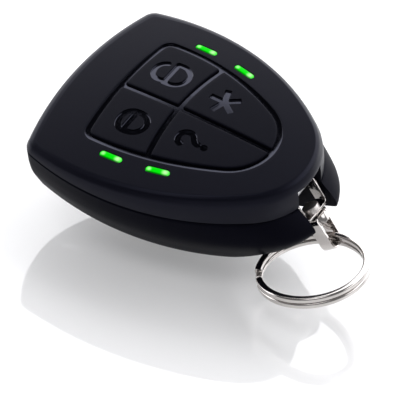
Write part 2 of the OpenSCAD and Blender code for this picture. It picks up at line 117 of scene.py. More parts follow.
class FobSizes(bpy.types.PropertyGroup):
    """Sizes of the fob that a user would change"""

    case_width: FloatProperty(name="Case width", description="Width across the case",
                              default=0.047, unit="LENGTH")
    case_length: FloatProperty(name="Case length", description="Length of the top shell",
                               default=0.055, unit="LENGTH")
    parting: FloatProperty(name="Parting height", description="Height of the parting line above the back",
                           default=0.0125, unit="LENGTH")
    crown: FloatProperty(name="Crown height", description="Highest point of the dome above the parting line",
                         default=0.0069, unit="LENGTH")
    nose: FloatProperty(name="Nose reach", description="How far the rear shell passes the top shell",
                        default=0.0044, unit="LENGTH")
    pad_width: FloatProperty(name="Recess width", description="Width of the key recess",
                             default=0.0298, unit="LENGTH")
    pad_top: FloatProperty(name="Recess wide end", description="Wide end of the key recess from the middle",
                           default=0.0169, unit="LENGTH")
    pad_tip: FloatProperty(name="Recess tip", description="Tip of the key recess from the middle",
                           default=0.0187, unit="LENGTH")
    groove: FloatProperty(name="Groove", description="Gap between the keys and round them",
                          default=0.0011, unit="LENGTH")
    groove_depth: FloatProperty(name="Groove depth", description="Depth of the grooves",
                                default=0.00045, unit="LENGTH")
    recess: FloatProperty(name="Pocket depth", description="Depth of the pocket under each key",
                          default=0.002, unit="LENGTH")
    engraving: FloatProperty(name="Engraving depth", description="Depth of the key symbols",
                             default=0.00042, unit="LENGTH")
    stroke: FloatProperty(name="Symbol stroke", description="Width of the symbols' strokes",
                          default=0.00115, unit="LENGTH")
    slit_length: FloatProperty(name="Slit length", description="Length of each light slit",
                               default=0.0048, unit="LENGTH")
    slit_width: FloatProperty(name="Slit width", description="Width of each light slit",
                              default=0.0014, unit="LENGTH")
    ring_diameter: FloatProperty(name="Ring diameter", description="Outer diameter of the split ring",
                                 default=0.022, unit="LENGTH")
    wire_width: FloatProperty(name="Wire width", description="Width of the ring's wire",
                              default=0.00135, unit="LENGTH")
    wire_height: FloatProperty(name="Wire height", description="Height of the ring's wire",
                               default=0.0011, unit="LENGTH")


class FobFinish(bpy.types.PropertyGroup):
    """Colours and finishes of the fob and its stage"""

    case: FloatVectorProperty(name="Case", description="Black of the moulded case",
                              subtype="COLOR", size=3, default=(0.003, 0.003, 0.0065))
    key: FloatVectorProperty(name="Keys", description="Black of the keys",
                             subtype="COLOR", size=3, default=(0.003, 0.003, 0.006))
    glow: FloatVectorProperty(name="Light", description="Colour of the lit slits",
                              subtype="COLOR", size=3, default=(0.0, 0.85, 0.002))
    glow_power: FloatProperty(name="Light strength", description="Strength of the lit slits",
                              default=1.0, min=0.0)
    nickel: FloatVectorProperty(name="Nickel", description="Plating of the link and the ring",
                                subtype="COLOR", size=3, default=(0.61, 0.58, 0.56))
    table: FloatVectorProperty(name="Table", description="Gloss-white table",
                               subtype="COLOR", size=3, default=(0.9, 0.9, 0.9))


def sizes():
    return bpy.context.scene.fob_sizes


def finish():
    return bpy.context.scene.fob_finish


def mm(value):
    """A size property in millimetres."""
    return value / MM


# Outlines and surfaces, in millimetres


def arc(c, r, a0, a1, n):
    """Points of one arc, its first point left out."""
    a = a0 + (a1 - a0) * np.arange(1, n + 1) / n
    return np.stack([c[0] + r * np.cos(a), c[1] + r * np.sin(a)], 1)


def shield(w, top, tip, er, cr, sr, tr, counts=(22, 34, 10, 22)):
    """Shield outline of tangent arcs, tip at -Y, anticlockwise."""
    tc = np.array([0.0, tr - tip])
    sx = w - sr
    sc = np.array([sx, tc[1] + math.sqrt((sr - tr) ** 2 - sx * sx)])
    ec = np.array([0.0, top - er])
    d = np.linalg.norm(sc - ec)
    u = (sc - ec) / d
    a = ((er - cr) ** 2 - (sr - cr) ** 2 + d * d) / (2 * d)
    h = math.sqrt((er - cr) ** 2 - a * a)
    cc = ec + a * u + h * np.array([u[1], -u[0]])
    a1 = math.atan2(tc[1] - sc[1], tc[0] - sc[0])
    a2 = math.atan2(cc[1] - sc[1], cc[0] - sc[0])
    a3 = math.atan2(cc[1] - ec[1], cc[0] - ec[0])
    right = np.vstack([
        [[0.0, -tip]],
        arc(tc, tr, -math.pi / 2, a1, counts[0]),
        arc(sc, sr, a1, a2, counts[1]),
        arc(cc, cr, a2, a3, counts[2]),
        arc(ec, er, a3, math.pi / 2, counts[3]),
    ])
    left = right[-2:0:-1] * [-1, 1]
    return np.vstack([right, left])


def half_length():
    return mm(sizes().case_length) / 2


def case_line(d):
    """Outline of the case, moved inward by d."""
    w, l = mm(sizes().case_width) / 2, half_length()
    return shield(w - d, l - d, l - d, END_R - d, max(CORNER_R - d, 0.6), SIDE_R - d, TIP_R - d)


def pad_line(d):
    """Outline of the key recess, moved inward by d."""
    s = sizes()
    w, top, tip = mm(s.pad_width) / 2, mm(s.pad_top), mm(s.pad_tip)
    corner = max(PAD_CORNER_R - d, 0.5)
    return shield(w - d, top - d, tip - d, PAD_END_R - d, corner, PAD_SIDE_R - d, PAD_TIP_R - d)


def drawn_out(line, s):
    """Outline drawn out toward the tip by s."""
    out = line.copy()
    out[:, 1] -= s * (1 - out[:, 1] / half_length()) / 2
    return out


def dome(x, y):
    """Height of the domed top face."""
    s = sizes()
    across = x / (mm(s.case_width) / 2)
    along = (y - APEX_Y) / (half_length() - APEX_Y)
    return mm(s.parting) + mm(s.crown) - SIDE_DROP * across**2 - END_DROP * along**2


def key_face(x, y):
    """Height of the curved surface that the keys share."""
    ky = 2 * KEY_SPHERE_R * END_DROP * APEX_Y / (half_length() - APEX_Y) ** 2
    kz = dome(0.0, 0.0) + ky * ky / (2 * KEY_SPHERE_R)
    return kz - KEY_SPHERE_R + np.sqrt(KEY_SPHERE_R**2 - x * x - (y - ky) ** 2)


def smooth_steps(xs, ys, x):
    """Monotone cubic through the steps (xs, ys), read at x."""
    xs, ys, x = (np.asarray(v, float) for v in (xs, ys, x))
    h = np.diff(xs)
    d = np.diff(ys) / h
    m = np.zeros_like(xs)
    m[0], m[-1] = d[0], d[-1]
    for i in range(1, len(xs) - 1):
        if d[i - 1] * d[i] > 0:
            w1, w2 = 2 * h[i] + h[i - 1], h[i] + 2 * h[i - 1]
            m[i] = (w1 + w2) / (w1 / d[i - 1] + w2 / d[i])
    k = np.clip(np.searchsorted(xs, x) - 1, 0, len(h) - 1)
    t = (x - xs[k]) / h[k]
    return (
        (1 + 2 * t) * (1 - t) ** 2 * ys[k]
        + t * (1 - t) ** 2 * h[k] * m[k]
        + t * t * (3 - 2 * t) * ys[k + 1]
        + t * t * (t - 1) * h[k] * m[k + 1]
    )


def at_height(line, z):
    """Ring of points on an outline at height z, a number or one value for each point."""
    return np.column_stack([line, np.broadcast_to(z, len(line))])


# Mesh tools


def placed(name, data):
    """A new object in the scene."""
    obj = bpy.data.objects.new(name, data)
    bpy.context.scene.collection.objects.link(obj)
    return obj


def new_object(name, verts, faces, materials, mat_index=None):
    """A closed mesh from millimetre points."""
    mesh = bpy.data.meshes.new(name)
    mesh.from_pydata((np.asarray(verts, float) * MM).tolist(), [], [list(map(int, f)) for f in faces])
    bm = bmesh.new()
    bm.from_mesh(mesh)
    bmesh.ops.recalc_face_normals(bm, faces=bm.faces)
    bm.to_mesh(mesh)
    bm.free()
    for m in materials:
        mesh.materials.append(m)
    if mat_index is not None:
        mesh.polygons.foreach_set("material_index", np.asarray(mat_index, dtype=np.int32))
    shade(mesh)
    return placed(name, mesh)


def shade(mesh, angle=SMOOTH_TO):
    mesh.polygons.foreach_set("use_smooth", [True] * len(mesh.polygons))
    mesh.set_sharp_from_angle(angle=math.radians(angle))
    mesh.update()


def loft(rings, first=None, last=None):
    """Points and faces of a skin through rings of equal count. An end without a pole is closed flat."""
    n, m = len(rings[0]), len(rings)
    verts = np.vstack(rings)
    faces = []
    j = np.roll(np.arange(n), -1)
    for k in range(m - 1):
        a, b = k * n, (k + 1) * n
        faces += [(a + i, a + j[i], b + j[i], b + i) for i in range(n)]
    for pole, ring in ((first, 0), (last, m - 1)):
        if pole is None:
            faces.append([ring * n + i for i in range(n)])
        else:
            verts = np.vstack([verts, [pole]])
            faces += [(len(verts) - 1, ring * n + i, ring * n + j[i]) for i in range(n)]
    return verts, faces


def column(x, y, d, z0, z1, n=40):
    """Upright cylinder of diameter d."""
    line = arc((x, y), d / 2, -2 * math.pi / n, 2 * math.pi * (n - 1) / n, n)
    return loft([at_height(line, z0), at_height(line, z1)])


def box(lo, hi):
    (x0, y0, z0), (x1, y1, z1) = lo, hi
    line = np.array([[x0, y0], [x1, y0], [x1, y1], [x0, y1]])
    return loft([at_height(line, z0), at_height(line, z1)])


def settle(obj, mod):
    """Gives an object the plain mesh that its modifier makes, and removes the modifier."""
    graph = bpy.context.evaluated_depsgraph_get()
    mesh = bpy.data.meshes.new_from_object(obj.evaluated_get(graph))
    obj.modifiers.remove(mod)
    if len(mesh.polygons) < 4:
        raise RuntimeError(f"{obj.name}: no closed mesh was left")
    old, obj.data = obj.data, mesh
    bpy.data.meshes.remove(old)
    mesh.name = obj.name


def combine(obj, solid, how="DIFFERENCE", index=0):
    """Cuts a solid from an object's mesh, or adds it, and keeps the result as a plain mesh."""
    tool = new_object("tool", *solid, list(obj.data.materials), [index] * len(solid[1]))
    mod = obj.modifiers.new("combine", "BOOLEAN")
    mod.operation = how
    mod.solver = "EXACT"
    mod.object = tool
    settle(obj, mod)
    tool_mesh = tool.data
    bpy.data.objects.remove(tool)
    bpy.data.meshes.remove(tool_mesh)
    shade(obj.data)


def clip(line, keep, bound=None):
    """Part of a closed outline where keep(p) > 0. bound(p, q) gives points along the cut from p to q."""
    out, n = [], len(line)
    value = np.array([keep(p) for p in line])
    for i in range(n):
        p, q, vp, vq = line[i], line[(i + 1) % n], value[i], value[(i + 1) % n]
        if vp > 0:
            out.append(p)
        if vp * vq < 0:
            c = p + (q - p) * vp / (vp - vq)
            out.append(c)
            if vp > 0:
                leave = len(out)
    if bound is not None:
        p, q = out[leave - 1], out[leave % len(out)]
        out[leave:leave] = list(bound(p, q))
    return np.array(out)


def rounded(line, r, sharp=25.0, n=6):
    """Outline with each corner sharper than the given angle turned on a radius."""
    loop = np.vstack([line, line[:1]])
    s = np.r_[0, np.cumsum(np.linalg.norm(np.diff(loop, axis=0), axis=1))]
    total = s[-1]

    def at(v):
        return np.array([np.interp(v % total, s, loop[:, 0]), np.interp(v % total, s, loop[:, 1])])

    u = line - np.roll(line, 1, 0)
    v = np.roll(line, -1, 0) - line
    turn = np.arctan2(v[:, 1], v[:, 0]) - np.arctan2(u[:, 1], u[:, 0])
    turn = np.abs((turn + math.pi) % (2 * math.pi) - math.pi)
    corners = np.flatnonzero(np.degrees(turn) > sharp)
    reach = r * np.tan(turn / 2)
    out = []
    for i, p in enumerate(line):
        if i in corners:
            p0, p1 = at(s[i] - reach[i]), at(s[i] + reach[i])
            out += [(1 - k) ** 2 * p0 + 2 * k * (1 - k) * p + k * k * p1 for k in np.linspace(0, 1, n + 1)]
            continue
        gap = np.abs(s[i] - s[corners])
        if np.all(np.minimum(gap, total - gap) > reach[corners] + 0.01):
            out.append(p)
    return np.array(out)


def resample(line, n):
    """Closed outline with n evenly spaced points."""
    loop = np.vstack([line, line[:1]])
    s = np.r_[0, np.cumsum(np.linalg.norm(np.diff(loop, axis=0), axis=1))]
    t = np.linspace(0, s[-1], n, endpoint=False)
    return np.stack([np.interp(t, s, loop[:, 0]), np.interp(t, s, loop[:, 1])], 1)


def inset(line, d):
    """Anticlockwise outline moved inward by d."""
    e = np.roll(line, -1, 0) - line
    e /= np.linalg.norm(e, axis=1)[:, None]
    nrm = np.stack([-e[:, 1], e[:, 0]], 1)
    b = nrm + np.roll(nrm, 1, 0)
    b /= np.linalg.norm(b, axis=1)[:, None]
    c = np.clip((b * nrm).sum(1), 0.5, 1)
    return line + b * (d / c)[:, None]


# Materials


def add_node(tree, kind, inputs, settings):
    """New node of a tree, its inputs linked to sockets or set to values."""
    n = tree.nodes.new(kind)
    for k, v in settings.items():
        setattr(n, k, v)
    for k, v in (inputs or {}).items():
        if isinstance(v, bpy.types.NodeSocket):
            tree.links.new(v, n.inputs[k])
        else:
            n.inputs[k].default_value = v
    return n


class Shader:
    """Builds one procedural material on Object coordinates."""

    def __init__(self, name):
        self.mat = bpy.data.materials.new(name)
        self.mat.use_nodes = True
        self.tree = self.mat.node_tree
        self.bsdf = self.tree.nodes["Principled BSDF"]
        self.coord = self.tree.nodes.new("ShaderNodeTexCoord").outputs["Object"]

    def node(self, kind, inputs=None, **settings):
        return add_node(self.tree, kind, inputs, settings)

    def noise(self, size, detail=2.0, rough=0.5, vector=None):
        """Noise with features of about the given size in metres."""
        n = self.node("ShaderNodeTexNoise", {
            "Vector": vector or self.coord, "Scale": 1.0 / size, "Detail": detail, "Roughness": rough})
        return n.outputs["Fac"]

    def spread(self, fac, low, high, start=0.3, end=0.7, way="LINEAR"):
        """The given range of a value, spread from low to high."""
        ends = {"Value": fac, "From Min": start, "From Max": end, "To Min": low, "To Max": high}
        return self.node("ShaderNodeMapRange", ends, interpolation_type=way).outputs["Result"]

    def math(self, operation, *values):
        return self.node("ShaderNodeMath", dict(enumerate(values)), operation=operation).outputs["Value"]

    def mixed(self, fac, a, b):
        n = self.node("ShaderNodeMix", {0: fac, 6: (*a, 1.0), 7: (*b, 1.0)}, data_type="RGBA")
        return n.outputs[2]

    def bump(self, height, strength, distance):
        n = self.node("ShaderNodeBump", {"Height": height, "Strength": strength, "Distance": distance})
        self.link(n.outputs["Normal"], "Normal")

    def link(self, out, name):
        self.tree.links.new(out, self.bsdf.inputs[name])

    def set(self, **values):
        for k, v in values.items():
            self.bsdf.inputs[k.replace("_", " ")].default_value = v


def shades(colour, k):
    return tuple(min(1.0, c * k) for c in colour)


def moulded(name, colour, grain, rough, depth, specular=0.4, sheen=(1.0, 1.0, 1.0)):
    """Moulded plastic: fine spark-eroded grain, slight mottling and uneven sheen."""
    sh = Shader(name)
    patch = sh.noise(0.004, 3.0)
    sh.link(sh.mixed(patch, shades(colour, 0.88), shades(colour, 1.12)), "Base Color")
    fine = sh.noise(grain, 2.0, 0.6)
    sh.link(sh.spread(fine, rough - 0.06, rough + 0.06), "Roughness")
    sh.bump(fine, 0.35, depth)
    sh.set(Specular_IOR_Level=specular, Specular_Tint=(*sheen, 1.0))
    return sh.mat


def metal(name, colour, rough, scratch=0.00012, wave=0.0):
    """Plated or plain metal: fine scratches, cloudy polish and, for bent sheet, a slow waviness."""
    sh = Shader(name)
    cloud = sh.noise(0.0022, 3.0)
    sh.link(sh.mixed(cloud, shades(colour, 0.9), shades(colour, 1.06)), "Base Color")
    stretch = sh.node("ShaderNodeMapping", {"Vector": sh.coord, "Scale": (1.0, 0.15, 1.0)})
    lines = sh.noise(scratch, 2.0, 0.6, stretch.outputs["Vector"])
    sh.link(sh.spread(lines, rough - 0.06, rough + 0.06), "Roughness")
    if wave:
        slow = sh.spread(sh.noise(0.0013, 1.0), 0.0, 1.0)
        sh.bump(sh.math("MULTIPLY_ADD", lines, 0.08, slow), 0.6, wave)
    else:
        sh.bump(lines, 0.12, 0.00001)
    sh.set(Metallic=1.0)
    return sh.mat


def lit_plastic(name, glow, power):
    """Lit light pipe: green glow that fades to its long edges, with a hot spot toward each end."""
    sh = Shader(name)
    at = sh.node("ShaderNodeAttribute", attribute_name="slit_place").outputs["Vector"]
    across = sh.node("ShaderNodeSeparateXYZ", {"Vector": at}).outputs["X"]
    spots = []
    for centre, radius, heat in ((-0.64, 0.42, 1.0), (0.72, 0.28, 0.8)):
        gap = sh.node("ShaderNodeVectorMath", {0: at, 1: (0.0, centre, 0.0)}, operation="DISTANCE")
        spots.append(sh.spread(gap.outputs["Value"], 0.0, heat, radius, 0.0, "SMOOTHSTEP"))
    ripple = sh.spread(sh.noise(0.0006, 2.0), 0.92, 1.08)
    hot = sh.math("MULTIPLY", sh.math("MAXIMUM", *spots), ripple)
    sh.link(sh.mixed(hot, glow, (0.5, 1.0, 0.4)), "Emission Color")
    sh.link(sh.mixed(across, (0.0, 0.05, 0.001), (0.0, 0.1, 0.002)), "Base Color")
    rim = sizes().slit_width / sizes().slit_length
    edge = sh.spread(sh.math("ABSOLUTE", across), 0.16, 1.0, rim, rim * 0.45, "SMOOTHSTEP")
    strength = sh.spread(hot, 0.95 * power, 1.2 * power, 0.0, 1.0)
    sh.link(sh.math("MULTIPLY", strength, edge), "Emission Strength")
    sh.set(Roughness=0.3, Specular_IOR_Level=0.03)
    return sh.mat


def board_green(name):
    """Solder mask with copper tracks showing through as paler lines."""
    sh = Shader(name)
    tracks = sh.node("ShaderNodeTexBrick", {
        "Vector": sh.coord, "Scale": 260.0, "Mortar Size": 0.03, "Mortar": (0.05, 0.24, 0.09, 1),
        "Color1": (0.012, 0.10, 0.035, 1), "Color2": (0.014, 0.12, 0.04, 1)})
    sh.link(tracks.outputs["Color"], "Base Color")
    sh.link(sh.spread(sh.noise(0.003), 0.3, 0.45), "Roughness")
    return sh.mat


# Bluish tint of the black plastic's sheen
COOL = (0.68, 0.71, 1.0)
_made = {}


def material(name):
    """Each material of the fob, made once."""
    if name in _made:
        return _made[name]
    f = finish()
    case, key, nickel = tuple(f.case), tuple(f.key), tuple(f.nickel)
    # Plastics: colour, grain size, roughness, grain depth, specular level and sheen.
    # Metals: colour, roughness, scratch size and waviness.
    maker, *values = {
        "case_black": (moulded, case, 0.00016, 0.55, 0.00003, 0.11, COOL),
        "side_black": (moulded, case, 0.0002, 0.36, 0.000015, 0.17, COOL),
        # Groove: the case black at 0.3, painted shade on the groove's walls and floor
        "groove_black": (moulded, shades(case, 0.3), 0.0003, 0.1, 0.000004, 0.5, COOL),
        # Rear shell: the case black at 0.8, painted shade on the lower shell
        "rear_black": (moulded, shades(case, 0.8), 0.00016, 0.5, 0.00003, 0.06, COOL),
        "key_black": (moulded, key, 0.00014, 0.55, 0.000025, 0.085, COOL),
        # Symbols: the key black at 0.3, painted shade in the engraved strokes
        "symbol_black": (moulded, shades(key, 0.3), 0.0003, 0.08, 0.000004, 0.5, COOL),
        "switch_black": (moulded, (0.03, 0.03, 0.032), 0.0002, 0.5, 0.00002),
        "chip_black": (moulded, (0.022, 0.022, 0.024), 0.0001, 0.55, 0.00002),
        "holder_black": (moulded, (0.025, 0.025, 0.025), 0.0002, 0.5, 0.00002),
        "plunger_white": (moulded, (0.55, 0.54, 0.5), 0.0002, 0.45, 0.00002),
        "lamp_clear": (moulded, (0.3, 0.62, 0.3), 0.0003, 0.2, 0.00001, 0.5),
        "lit_green": (lit_plastic, tuple(f.glow), f.glow_power),
        "board_green": (board_green,),
        "nickel": (metal, nickel, 0.13),
        "nickel_sheet": (metal, nickel, 0.13, 0.00012, 0.00003),
        # Rivet: the nickel brightened by 1.25, painted light on the rivet
        "nickel_dull": (metal, shades(nickel, 1.25), 0.42),
        "steel": (metal, (0.56, 0.56, 0.57), 0.28),
        "cell_steel": (metal, (0.66, 0.66, 0.67), 0.24, 0.0003),
        "brass": (metal, (0.72, 0.55, 0.26), 0.25),
        "copper": (metal, (0.62, 0.32, 0.17), 0.35),
        "tin_can": (metal, (0.63, 0.63, 0.65), 0.3),
    }[name]
    _made[name] = maker(name, *values)
    return _made[name]


# Case


def above_bevel(ring, raised=0.0, soft=0.5):
    """Ring whose tip end is held back by the sloping underside of the nose."""
    out = ring.copy()
    limit = BEVEL_Y - (out[:, 2] - raised) / BEVEL_SLOPE
    gap = out[:, 1] - limit
    out[:, 1] = limit + (gap + np.sqrt(gap * gap + soft * soft)) / 2
    return out


def slot_block(line, heights, proud=0.0):
    """Block that lines the slot inside an outline, standing proud of the nose's sloping underside."""
    p = clip(line, lambda q: SLOT_W / 2 + LINER - abs(q[0]))
    p = clip(p, lambda q: SLOT_BACK + LINER - q[1])
    return loft([above_bevel(at_height(p, z), -proud, 0.1) for z in heights])


def slot_space(z0, z1):
    return box((-SLOT_W / 2, -half_length() - 12, z0), (SLOT_W / 2, SLOT_BACK, z1))


def pin_space(n=32):
    a = 2 * math.pi * np.arange(n) / n
    y, z = PIN_Y + PIN_D / 2 * np.cos(a), PIN_Z + PIN_D / 2 * np.sin(a)
    return loft([np.column_stack([np.full(n, x), y, z]) for x in (-PIN_L / 2, PIN_L / 2)])


def slit_places():
    """Middle and turn in degrees of each light slit."""
    s = sizes()
    upper = (mm(s.pad_width) / 2 + 1.6, mm(s.pad_top) - 9.5, 1.8)
    lower = (mm(s.pad_width) / 2 + 0.2, mm(s.pad_top) - 19.2, 12.4)
    return {
        "left_upper": (-upper[0], upper[1], -upper[2]),
        "left_lower": (-lower[0], lower[1], -lower[2]),
        "right_upper": upper,
        "right_lower": lower,
    }


def slit_line(place, grow, n=12):
    """Round-ended slit outline, anticlockwise, grown by the given amount."""
    s = sizes()
    r = mm(s.slit_width) / 2
    reach = mm(s.slit_length) / 2 - r
    p = np.vstack([arc((0, y), r + grow, a, a + math.pi, n) for y, a in ((reach, 0.0), (-reach, math.pi))])
    a = math.radians(-place[2])
    turn = np.array([[math.cos(a), math.sin(a)], [-math.sin(a), math.cos(a)]])
    return p @ turn + [place[0], place[1]]


def screw_spots():
    return [(sx * (mm(sizes().case_width) / 2 - 8), half_length() - 10.5) for sx in (-1, 1)]


def on_surface(line, surface, lower=0.0):
    """Ring of points on an outline, under a surface by the given amount."""
    return at_height(line, surface(line[:, 0], line[:, 1]) - lower)


def top_shell_rings():
    """Rings of the outside, from the parting line over the shoulder and the dome into the key recess."""
    s = sizes()
    parting = mm(s.parting)
    rings = [at_height(case_line(PARTING_LIP), parting)]
    crest = case_line(CREASE_IN)
    rise = dome(crest[:, 0], crest[:, 1]) - parting - PARTING_LIP
    steps = np.array(SHOULDER)
    profile = np.stack([np.interp(SHOULDER_AT, steps[:, 0], steps[:, k]) for k in (1, 2)], 1)
    profile[1:-1] = profile[1:-1] / 2 + (profile[:-2] + profile[2:]) / 4
    for d, share in profile:
        rings.append(at_height(case_line(d), parting + PARTING_LIP + rise * share))
    edge = pad_line(-PAD_RIM)
    for k in np.r_[0.03, np.linspace(0, 1, 17)[1:]]:
        rings.append(on_surface(crest + (edge - crest) * k, dome))
    for a in np.linspace(0, math.pi / 2, 6)[1:]:
        p = pad_line(-PAD_RIM * (1 - math.sin(a)))
        rings.append(on_surface(p, dome, PAD_RIM * (1 - math.cos(a))))
    deep = mm(s.groove_depth)
    brim = rings[-1][:, 2]
    foot = on_surface(pad_line(0.0), key_face, deep)[:, 2]
    for d, share in GROOVE_WALL:
        rings.append(at_height(pad_line(d), foot + share * (brim - foot)))
    floor = pad_line(PAD_FLOOR_IN)
    for k in GROOVE_FLOOR:
        rings.append(on_surface(PAD_MIDDLE + (floor - PAD_MIDDLE) * k, key_face, deep))
    return rings, (*PAD_MIDDLE, float(key_face(*PAD_MIDDLE)) - deep)


def top_shell_inside():
    """Rings of the hollow, from the middle of its roof down to the parting line."""
    depth = mm(sizes().recess) + WEB
    edge = pad_line(-PAD_EDGE)
    wall = case_line(WALL)
    rings = [on_surface(PAD_MIDDLE + (edge - PAD_MIDDLE) * k, key_face, depth) for k in (0.2, 0.5, 0.8, 1.0)]
    rings += [on_surface(edge + (wall - edge) * k, key_face, WALL) for k in (0.03, 0.25, 0.5, 0.75, 1.0)]
    rings.append(at_height(wall, mm(sizes().parting)))
    return rings, (*PAD_MIDDLE, float(key_face(*PAD_MIDDLE)) - depth)


class FOB_OT_top_shell(bpy.types.Operator):
    """Build the domed top shell with its key recess, light slits and nose slot"""

    bl_idname = "fob.top_shell"
    bl_label = "Top Shell"

    def execute(self, context):
        s = sizes()
        parting = mm(s.parting)
        inside, inner_pole = top_shell_inside()
        outside, outer_pole = top_shell_rings()
        verts, faces = loft(inside + outside, inner_pole, outer_pole)
        # The coats: 0 for the dome and the inside, 1 for the groove, whose black is darkened as painted
        # shade, 2 for the shoulder
        n = len(inside[0])
        groove_from = (len(inside) + len(outside) - 1 - len(GROOVE_WALL) - len(GROOVE_FLOOR)) * n
        side_from, side_to = len(inside) * n, (len(inside) + 1 + len(SHOULDER_AT)) * n
        index = [1 if min(f) >= groove_from or max(f) == len(verts) - 1 else 0 for f in faces]
        index = [2 if min(f) >= side_from and max(f) < side_to else i for f, i in zip(faces, index)]
        coats = [material(name) for name in ("case_black", "groove_black", "side_black")]
        shell = new_object("top_shell_form", verts, faces, coats, index)
        top = parting + mm(s.crown)
        combine(shell, slot_block(case_line(1.0), (parting + 0.01, top - 1.9)), "UNION")
        combine(shell, slot_space(parting - 1, top - 2.4))
        for x, y in screw_spots():
            combine(shell, column(x, y, POST_D, POST_MEET, float(key_face(x, y)) - 1.0), "UNION")
            combine(shell, column(x, y, PILOT_D, POST_MEET - 1.0, PILOT_TOP))
        for place in slit_places().values():
            line = slit_line(place, PIPE_FIT)
            combine(shell, loft([at_height(line, parting + 0.5), at_height(line, top + 2)]))
        for i in range(len(KEY_NAMES)):
            line = key_outline(i, KEY_FIT)
            combine(shell, loft([on_surface(line, key_face, mm(s.recess)), at_height(line, top + 2)]))
        for x, y in key_stems():
            pocket = float(key_face(x, y)) - mm(s.recess)
            combine(shell, column(x, y, STEM_D + 0.6, parting - 2, pocket + 0.4))
        combine(shell, pin_space())
        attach(shell, "housing")
        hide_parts("top_shell")
        return {"FINISHED"}


def rear_shell_rings():
    """Rings of the outside, from the middle of the back up to the parting line."""
    s = sizes()
    z, d, share = (np.array(v) for v in zip(*REAR_SIDE))
    heights = np.r_[0.0, 0.2, 0.45, 0.8, np.linspace(1.3, 12.2, 26)]
    rings = []
    for h, i, k in zip(heights, smooth_steps(z, d, heights), smooth_steps(z, share, heights)):
        rings.append(above_bevel(at_height(drawn_out(case_line(max(i, 0.0)), mm(s.nose) * k), h)))
    rings.append(at_height(case_line(PARTING_LIP), mm(s.parting)))
    return [rings[0] * k for k in (0.3, 0.65, 0.9)] + rings, (0.0, 0.0, 0.0)


def rear_shell_inside():
    """Rings of the hollow, from the parting line down to the middle of its floor."""
    nose = mm(sizes().nose) * 0.4
    upper, lower = WALL + 0.3, WALL + 2.6
    spec = ((12.5, WALL, 0.0), (9.95, WALL, 0.0), (9.9, upper, nose), (5.6, upper, nose),
            (5.5, lower, nose), (FLOOR_T, lower, nose))
    rings = [above_bevel(at_height(drawn_out(case_line(d), k), z), FLOOR_T) for z, d, k in spec]
    middle = np.array([0.0, 0.0, FLOOR_T])
    rings.append((middle + rings[-1]) / 2)
    return rings, tuple(middle)


class FOB_OT_rear_shell(bpy.types.Operator):
    """Build the deep rear shell with its nose, link slot, posts and screw wells"""

    bl_idname = "fob.rear_shell"
    bl_label = "Rear Shell"

    def execute(self, context):
        s = sizes()
        parting = mm(s.parting)
        outside, outer_pole = rear_shell_rings()
        inside, inner_pole = rear_shell_inside()
        verts, faces = loft(outside + inside, outer_pole, inner_pole)
        # The rear shell's black is darkened as painted shade
        shell = new_object("rear_shell_form", verts, faces, [material("rear_black")])
        heights = (1.6, 2.2, 3.0, 4.0, 5.0, 6.2, 8.0, parting - 0.01)
        lining = slot_block(drawn_out(case_line(1.4), mm(s.nose) * 0.4), heights, SLOT_COLLAR)
        combine(shell, lining, "UNION")
        combine(shell, slot_space(-1.0, parting + 2))
        for x, y in screw_spots():
            combine(shell, column(x, y, POST_D, 1.0, POST_MEET - 0.02), "UNION")
            combine(shell, column(x, y, HOLE_D, -1.0, 12.0))
            combine(shell, column(x, y, WELL_D, -1.0, WELL_DEEP))
        for x, y in ((mm(s.case_width) / 2 - 6, 2.0), (9.5, 13 - half_length())):
            for side in (-1, 1):
                combine(shell, column(side * x, y, FOOT_D, 1.0, BOARD_Z), "UNION")
        combine(shell, pin_space())
        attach(shell, "housing")
        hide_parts("rear_shell")
        return {"FINISHED"}


# Keys


def key_stems():
    """Middle of each key's stem, in the order of the key names."""
    x = mm(sizes().pad_width) / 4
    return [(-x, CROSS_Y + 6.2), (x, CROSS_Y + 6.2), (x - 0.8, CROSS_Y - 9.2), (0.8 - x, CROSS_Y - 9.2)]


def key_outline(i, grow=0.0):
    """Outline of one quadrant key, anticlockwise, with its corners turned, grown by the given amount."""
    groove = mm(sizes().groove)
    half = groove / 2 - grow
    side = -1 if key_stems()[i][0] < 0 else 1
    upper = i < 2
    centre = np.array([0.0, CROSS_Y - CROSS_R])
    radius = CROSS_R + half if upper else CROSS_R - half
    line = clip(pad_line(groove - grow), lambda p: side * p[0] - half)

    def along(p, q):
        a = math.atan2(p[1] - centre[1], p[0] - centre[0])
        b = math.atan2(q[1] - centre[1], q[0] - centre[0])
        return arc(centre, radius, a, b, 16)[:-1]

    sign = 1 if upper else -1
    line = clip(line, lambda p: sign * (np.linalg.norm(p - centre) - radius), along)
    area = np.sum(line[:, 0] * np.roll(line[:, 1], -1) - np.roll(line[:, 0], -1) * line[:, 1])
    if area < 0:
        line = line[::-1]
    keep = np.linalg.norm(line - np.roll(line, 1, 0), axis=1) > 0.02
    return resample(rounded(line[keep], KEY_CORNER_R + grow), 180)


def pen_path(points, step=0.16):
    """Evenly spaced, slightly smoothed points along a line."""
    p = np.asarray(points, float)
    s = np.r_[0, np.cumsum(np.linalg.norm(np.diff(p, axis=0), axis=1))]
    even = np.linspace(0, s[-1], max(8, int(s[-1] / step)))
    p = np.stack([np.interp(even, s, p[:, 0]), np.interp(even, s, p[:, 1])], 1)
    for _ in range(4):
        p[1:-1] = (p[:-2] + 2 * p[1:-1] + p[2:]) / 4
    return p


def engraved_wall(depth):
    """Side of an engraving as (outward, below the key's top) steps, its edge eased and its foot turned."""
    return ((0.06, -1.0), (0.06, -0.02), (0.0, depth * 0.3), (-0.02, depth - 0.07), (-0.1, depth))


